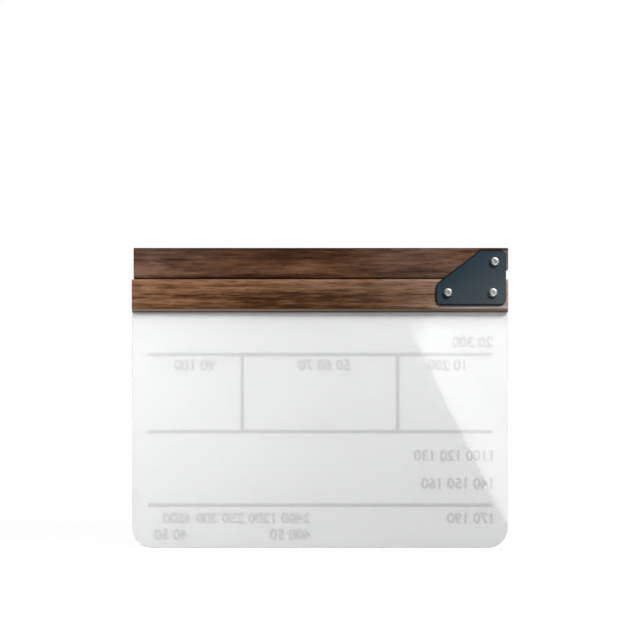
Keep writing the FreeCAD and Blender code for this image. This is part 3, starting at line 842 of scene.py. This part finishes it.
def number_mesh(text, depth):
    """A number in the built-in letterform, one unit in size."""
    outline = bpy.data.curves.new("number", "FONT")
    outline.body = text
    outline.extrude = depth
    outline.offset = DIGIT_WEIGHT
    outline.resolution_u = DIGIT_STEPS
    holder = bpy.data.objects.new("number", outline)
    mesh = bpy.data.meshes.new_from_object(holder)
    bpy.data.objects.remove(holder)
    bpy.data.curves.remove(outline)
    return mesh


def mesh_height(mesh):
    """How tall a flat number is."""
    heights = [vertex.co.y for vertex in mesh.vertices]
    return max(heights) - min(heights)


def screw_section(look, box):
    """Half a socket screw's section as radii and heights, from its tip to the floor of its socket."""
    low, high = box
    radius = (high.x - low.x) / 2.0
    top = BACK_PLATE_FACE - low.y
    tip = BACK_PLATE_FACE - high.y
    floor = top - look.socket_depth
    flat = look.head_flat / 2.0
    shank = look.thread / 2.0
    wall = look.socket / 2.0
    section = [(0.0, tip), (shank, tip), (shank, 0.0), (radius, 0.0)]
    shoulder = radius - look.head_draft - flat
    for step in range(HEAD_STEPS + 1):
        turn = math.pi / 2.0 * step / HEAD_STEPS
        out = flat + shoulder * math.cos(turn)
        section.append((out, look.head_rim + (top - look.head_rim) * math.sin(turn)))
    section += [(wall + look.socket_break, top), (wall, top - look.socket_break)]
    section += [(wall, floor), (0.0, floor)]
    return section


def make_hexagon(verts, reach):
    """Pushes the head's rings within this reach of the axis out to a hexagon."""
    for vert in verts:
        if vert.co.z > 0.0 and vert.co.xy.length < reach:
            from_flat = math.atan2(vert.co.y, vert.co.x) % SIXTH - SIXTH / 2.0
            vert.co.xy /= math.cos(from_flat)


def socket_screw(look, box):
    """A socket screw with a full rounded head, which is turned to the back."""
    bm = bmesh.new()
    points = [bm.verts.new((out, 0.0, up)) for out, up in screw_section(look, box)]
    edges = [bm.edges.new(pair) for pair in zip(points, points[1:])]
    turn = 2.0 * math.pi
    axis = (0.0, 0.0, 1.0)
    bmesh.ops.spin(bm, geom=points + edges, axis=axis, angle=turn, steps=SCREW_STEPS, use_merge=True)
    bmesh.ops.remove_doubles(bm, verts=bm.verts, dist=SCREW_MERGE)
    make_hexagon(bm.verts, look.head_flat / 2.0 - SOCKET_ROOM)
    bmesh.ops.recalc_face_normals(bm, faces=bm.faces)
    foot = (box[0] + box[1]) / 2.0
    foot.y = BACK_PLATE_FACE
    bm.transform(Matrix.Translation(foot) @ Matrix.Rotation(math.pi / 2.0, 4, "X"))
    return bm


class CLAPPERBOARD_OT_acrylic_board(Operator):
    """Gives the board its milky acrylic"""

    bl_idname = "clapperboard.acrylic_board"
    bl_label = "Acrylic board"

    def execute(self, context):
        dress(milky_acrylic(context.scene.clapperboard.board), "slate_board")
        return {"FINISHED"}


class CLAPPERBOARD_OT_printed_face(Operator):
    """Prints the rules and plain numbers on the front of the board"""

    bl_idname = "clapperboard.printed_face"
    bl_label = "Printed face"

    def execute(self, context):
        look = context.scene.clapperboard.printing
        material = printers_ink(look)
        self.print_rules(look, material)
        self.print_numbers(look, material)
        return {"FINISHED"}

    def print_rules(self, look, material):
        """Three long rules, and two uprights between the upper two."""
        bm = bmesh.new()
        half = look.rule_width / 2.0
        sides = (BOARD_LOW.x + look.side_margin, BOARD_HIGH.x - look.side_margin)
        for height in (look.high_rule, look.middle_rule, look.low_rule):
            ink_bar(bm, look, sides, (height - half, height + half))
        ends = (look.middle_rule + half, look.high_rule - half)
        for place in (-look.column_place, look.column_place):
            ink_bar(bm, look, (place - half, place + half), ends)
        new_piece("print_rules", bm, material, "slate")

    def print_numbers(self, look, material):
        """Each number stands upright and reads from the front, where the hinge is on the left."""
        sample = number_mesh("0", 0.0)
        scale = look.digit_height / mesh_height(sample)
        bpy.data.meshes.remove(sample)
        reads_from_front = Matrix(((-1, 0, 0, 0), (0, 0, 1, 0), (0, 1, 0, 0), (0, 0, 0, 1)))
        ink_middle = BOARD_HIGH.y - look.ink_bite + look.ink_depth / 2.0
        bm = bmesh.new()
        for text, left, baseline in NUMBERS:
            mesh = number_mesh(text, look.ink_depth / 2.0 / scale)
            place = Matrix.Translation((left * MM, ink_middle, baseline * MM))
            mesh.transform(place @ reads_from_front @ Matrix.Scale(scale, 4))
            bm.from_mesh(mesh)
            bpy.data.meshes.remove(mesh)
        bmesh.ops.remove_doubles(bm, verts=bm.verts, dist=INK_MERGE)
        bmesh.ops.recalc_face_normals(bm, faces=bm.faces)
        new_piece("print_numbers", bm, material, "slate")


class CLAPPERBOARD_OT_walnut_sticks(Operator):
    """Gives both sticks their walnut and the stripes on their fronts"""

    bl_idname = "clapperboard.walnut_sticks"
    bl_label = "Walnut sticks"

    def execute(self, context):
        look = context.scene.clapperboard
        box = (LOWER_LOW, LOWER_HIGH)
        lower = walnut("walnut_light", look.lower_stick, LOWER_GROWTH, look.stripes, box, 1.0)
        box = (UPPER_LOW, UPPER_HIGH)
        upper = walnut("walnut_dark", look.upper_stick, UPPER_GROWTH, look.stripes, box, -1.0)
        dress(lower, "lower_stick")
        dress(upper, "upper_stick")
        return {"FINISHED"}


class CLAPPERBOARD_OT_hinge_plates(Operator):
    """Gives both corner plates their matt black coat"""

    bl_idname = "clapperboard.hinge_plates"
    bl_label = "Hinge plates"

    def execute(self, context):
        dress(powder_coat(context.scene.clapperboard.hinge), *HINGE_PLATES)
        return {"FINISHED"}


class CLAPPERBOARD_OT_bolts(Operator):
    """Gives the posts their turned steel and makes the socket screws that close them"""

    bl_idname = "clapperboard.bolts"
    bl_label = "Bolts"

    def execute(self, context):
        look = context.scene.clapperboard.hinge
        for node in POSTS:
            dress(turned_steel("bolt_steel_" + node, look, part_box(node)), node)
        for node in SCREWS:
            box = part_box(node)
            steel = turned_steel("bolt_steel_" + node, look, box)
            name = node.replace("_screw", "_socket_screw")
            screw = new_piece(name, socket_screw(look, box), steel, "slate")
            screw.data.shade_smooth()
            screw.data.set_sharp_from_angle(angle=SHARP_EDGE)
            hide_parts(node)
        return {"FINISHED"}


class CLAPPERBOARD_OT_bushes(Operator):
    """Gives the pivot bushes their nylon"""

    bl_idname = "clapperboard.bushes"
    bl_label = "Bushes"

    def execute(self, context):
        dress(natural_nylon(context.scene.clapperboard.hinge), *BUSHES)
        return {"FINISHED"}


class CLAPPERBOARD_OT_board_screws(Operator):
    """Gives the screws that hold the board their zinc"""

    bl_idname = "clapperboard.board_screws"
    bl_label = "Board screws"

    def execute(self, context):
        dress(zinc_plate(context.scene.clapperboard.hinge), *BOARD_SCREWS)
        return {"FINISHED"}


class CLAPPERBOARD_OT_studio(Operator):
    """Sets up the pale floor, the soft light and the camera"""

    bl_idname = "clapperboard.studio"
    bl_label = "Studio"

    def execute(self, context):
        look = context.scene.clapperboard.stage
        self.make_world(context, look)
        self.make_floor(look)
        self.make_dark_cove(look)
        distance = self.make_camera(context, look)
        self.make_gloss_cards(look, distance)
        self.make_lights(context)
        context.scene.view_settings.view_transform = "Standard"
        return {"FINISHED"}

    def make_world(self, context, look):
        """A white studio that lights the printed side of the board, and the plain side only a little."""
        world = bpy.data.worlds.new("studio")
        world.cycles.sampling_method = "NONE"
        context.scene.world = world
        world.use_nodes = True
        wiring = Wiring(world.node_tree)
        depth = wiring.parts(wiring.add("ShaderNodeTexCoord").outputs["Generated"])[1]
        strength = wiring.spread(depth, *STUDIO_TURN, look.front_light, look.back_light)
        light = wiring.tree.nodes["Background"]
        wiring.fill(light, Color=WHITE, Strength=strength)
        white = wiring.add("ShaderNodeBackground")
        wiring.fill(white, Color=WHITE)
        wiring.show(white, light, "World Output")

    def make_floor(self, look):
        """A white floor that fades into the studio and keeps a soft shadow round the board."""
        finish = Finish("pale_floor")
        finish.material.cycles.emission_sampling = "NONE"
        finish.set(Base_Color=FLOOR_PAPER, Roughness=1.0, Specular_IOR_Level=0.0)
        shade = finish.add("ShaderNodeBsdfDiffuse")
        finish.fill(shade, Color=FLOOR_SHADE)
        far = finish.add("ShaderNodeVectorMath", operation="LENGTH")
        finish.feed(far.inputs[0], finish.place)
        glow = finish.add("ShaderNodeEmission")
        finish.fill(glow, Strength=finish.spread(far.outputs["Value"], *FLOOR_FADE, *FLOOR_GLOW))
        lit = finish.add("ShaderNodeAddShader")
        finish.feed(lit.inputs[0], shade.outputs[0])
        finish.feed(lit.inputs[1], glow.outputs[0])
        finish.show(lit, finish.shader, "Material Output")

        bm = bmesh.new()
        floor_place = Matrix.Translation((0.0, 0.0, CAD_BOX[0].z))
        bmesh.ops.create_grid(bm, x_segments=1, y_segments=1, size=look.floor_reach, matrix=floor_place)
        floor = new_object("floor", bm, finish.material)
        floor.visible_glossy = False
        floor.visible_shadow = False

    def add_card(self, finish, bm, strength):
        """A glowing card that only mirrors see: it neither lights nor shades anything."""
        finish.material.cycles.emission_sampling = "NONE"
        glow = finish.add("ShaderNodeEmission")
        finish.fill(glow, Strength=strength)
        finish.fill(finish.tree.nodes["Material Output"], Surface=glow.outputs[0])
        card = new_object(finish.material.name, bm, finish.material)
        for ray in HIDDEN_FROM:
            setattr(card, "visible_" + ray, False)

    def card_glow(self, finish, corner, top, spread, radiance):
        """A card's radiance, which fades towards its upper left corner and towards its top."""
        away = finish.add("ShaderNodeVectorMath", operation="DISTANCE")
        finish.feed(away.inputs[0], finish.place)
        finish.feed(away.inputs[1], corner)
        reach = CARD_SOFTNESS * spread
        from_corner = finish.spread(away.outputs["Value"], 0.0, reach, CARD_DIM, 1.0, "SMOOTHSTEP")
        bottom = top - CARD_FADE * spread
        dim = radiance * CARD_DIM
        under_top = finish.spread(finish.axes()[2], top, bottom, dim, radiance, "SMOOTHSTEP")
        return finish.times(from_corner, under_top)

    def make_dark_cove(self, look):
        """A dark cove before, below and left of the board, so that steel and wood keep their depth."""
        low = Vector((-look.cove_side, -look.cove_back, CAD_BOX[0].z - look.cove_drop))
        high = Vector((look.cove_reach, LOWER_LOW.y - look.cove_gap, look.cove_reach))
        bm = bmesh.new()
        add_block(bm, low, high)
        open_sides = [face for face in bm.faces if max(face.normal) > 0.5]
        bmesh.ops.delete(bm, geom=open_sides, context="FACES")
        self.add_card(Finish("dark_cove"), bm, look.cove_glow)

    def make_gloss_cards(self, look, distance):
        """Slanting bright cards, placed so that the camera finds them mirrored in the board."""
        down = Vector((math.sin(CARD_SLANT), 0.0, -math.cos(CARD_SLANT)))
        across = Vector((math.cos(CARD_SLANT), 0.0, math.sin(CARD_SLANT)))
        eye = Vector((0.0, 0.0, look.picture_height))
        upright = Matrix.Rotation(-CARD_SLANT, 4, "Y") @ Matrix.Rotation(math.pi / 2.0, 4, "X")
        for name, width, reach, radiance in GLOSS_CARDS:
            spread = 1.0 + reach / distance
            on_board = CARD_CORNER + across * width / 2.0 + down * CARD_LENGTH / 2.0
            place = eye + (on_board - eye) * spread
            corner = eye + (CARD_CORNER - eye) * spread
            place.y = -reach
            corner.y = -reach
            size = Matrix.Diagonal((width * spread, CARD_LENGTH * spread, 1.0, 1.0))
            stand = Matrix.Translation(place) @ upright @ size
            bm = bmesh.new()
            bmesh.ops.create_grid(bm, x_segments=1, y_segments=1, size=0.5, matrix=stand)
            finish = Finish(name)
            top = eye.z + (LOWER_LOW.z - eye.z) * spread
            self.add_card(finish, bm, self.card_glow(finish, corner, top, spread, radiance))

    def make_camera(self, context, look):
        """Square on to the back of the board. Returns its distance from the back of the sticks."""
        data = bpy.data.cameras.new("camera")
        data.lens = look.lens
        distance = look.picture_width * look.lens / data.sensor_width
        camera = bpy.data.objects.new("camera", data)
        camera.location = (0.0, LOWER_LOW.y - distance, look.picture_height)
        camera.rotation_euler = (math.pi / 2.0, 0.0, 0.0)
        context.scene.collection.objects.link(camera)
        context.scene.camera = camera
        return distance

    def make_lights(self, context):
        """A key from the upper right, a broad lamp overhead and a gridded soft box on the left."""
        for name, place, aim, side, radiance, opening in LAMPS:
            data = bpy.data.lights.new(name, "AREA")
            data.size = side
            data.energy = radiance * math.pi * side * side
            data.spread = math.radians(opening)
            lamp = bpy.data.objects.new(name, data)
            lamp.location = place
            lamp.rotation_euler = (Vector(aim) - Vector(place)).to_track_quat("-Z", "Y").to_euler()
            lamp.visible_camera = False
            context.scene.collection.objects.link(lamp)


class CLAPPERBOARD_PT_dresser(Panel):
    """Lists the pieces of the clapperboard and what can be changed on them"""

    bl_label = "Clapperboard"
    bl_idname = "CLAPPERBOARD_PT_dresser"
    bl_space_type = "VIEW_3D"
    bl_region_type = "UI"
    bl_category = "Clapperboard"

    def draw(self, context):
        layout = self.layout
        look = context.scene.clapperboard
        for operator in OPERATORS:
            layout.operator(operator.bl_idname)
        for group in ClapperboardLook.__annotations__:
            box = layout.box()
            box.label(text=group.replace("_", " ").capitalize())
            part = getattr(look, group)
            for name in part.__annotations__:
                box.prop(part, name)


LOOKS = (BoardLook, PrintLook, LowerStickLook, UpperStickLook, StripeLook, HingeLook, StageLook)
OPERATORS = (
    CLAPPERBOARD_OT_acrylic_board,
    CLAPPERBOARD_OT_printed_face,
    CLAPPERBOARD_OT_walnut_sticks,
    CLAPPERBOARD_OT_hinge_plates,
    CLAPPERBOARD_OT_bolts,
    CLAPPERBOARD_OT_bushes,
    CLAPPERBOARD_OT_board_screws,
    CLAPPERBOARD_OT_studio,
)
CLASSES = (*LOOKS, ClapperboardLook, *OPERATORS, CLAPPERBOARD_PT_dresser)


def register():
    for each in CLASSES:
        bpy.utils.register_class(each)
    bpy.types.Scene.clapperboard = PointerProperty(type=ClapperboardLook)


def unregister():
    del bpy.types.Scene.clapperboard
    for each in reversed(CLASSES):
        bpy.utils.unregister_class(each)


def main():
    register()
    bpy.ops.clapperboard.acrylic_board()
    bpy.ops.clapperboard.printed_face()
    bpy.ops.clapperboard.walnut_sticks()
    bpy.ops.clapperboard.hinge_plates()
    bpy.ops.clapperboard.bolts()
    bpy.ops.clapperboard.bushes()
    bpy.ops.clapperboard.board_screws()
    bpy.ops.clapperboard.studio()


if __name__ == "__main__":
    main()
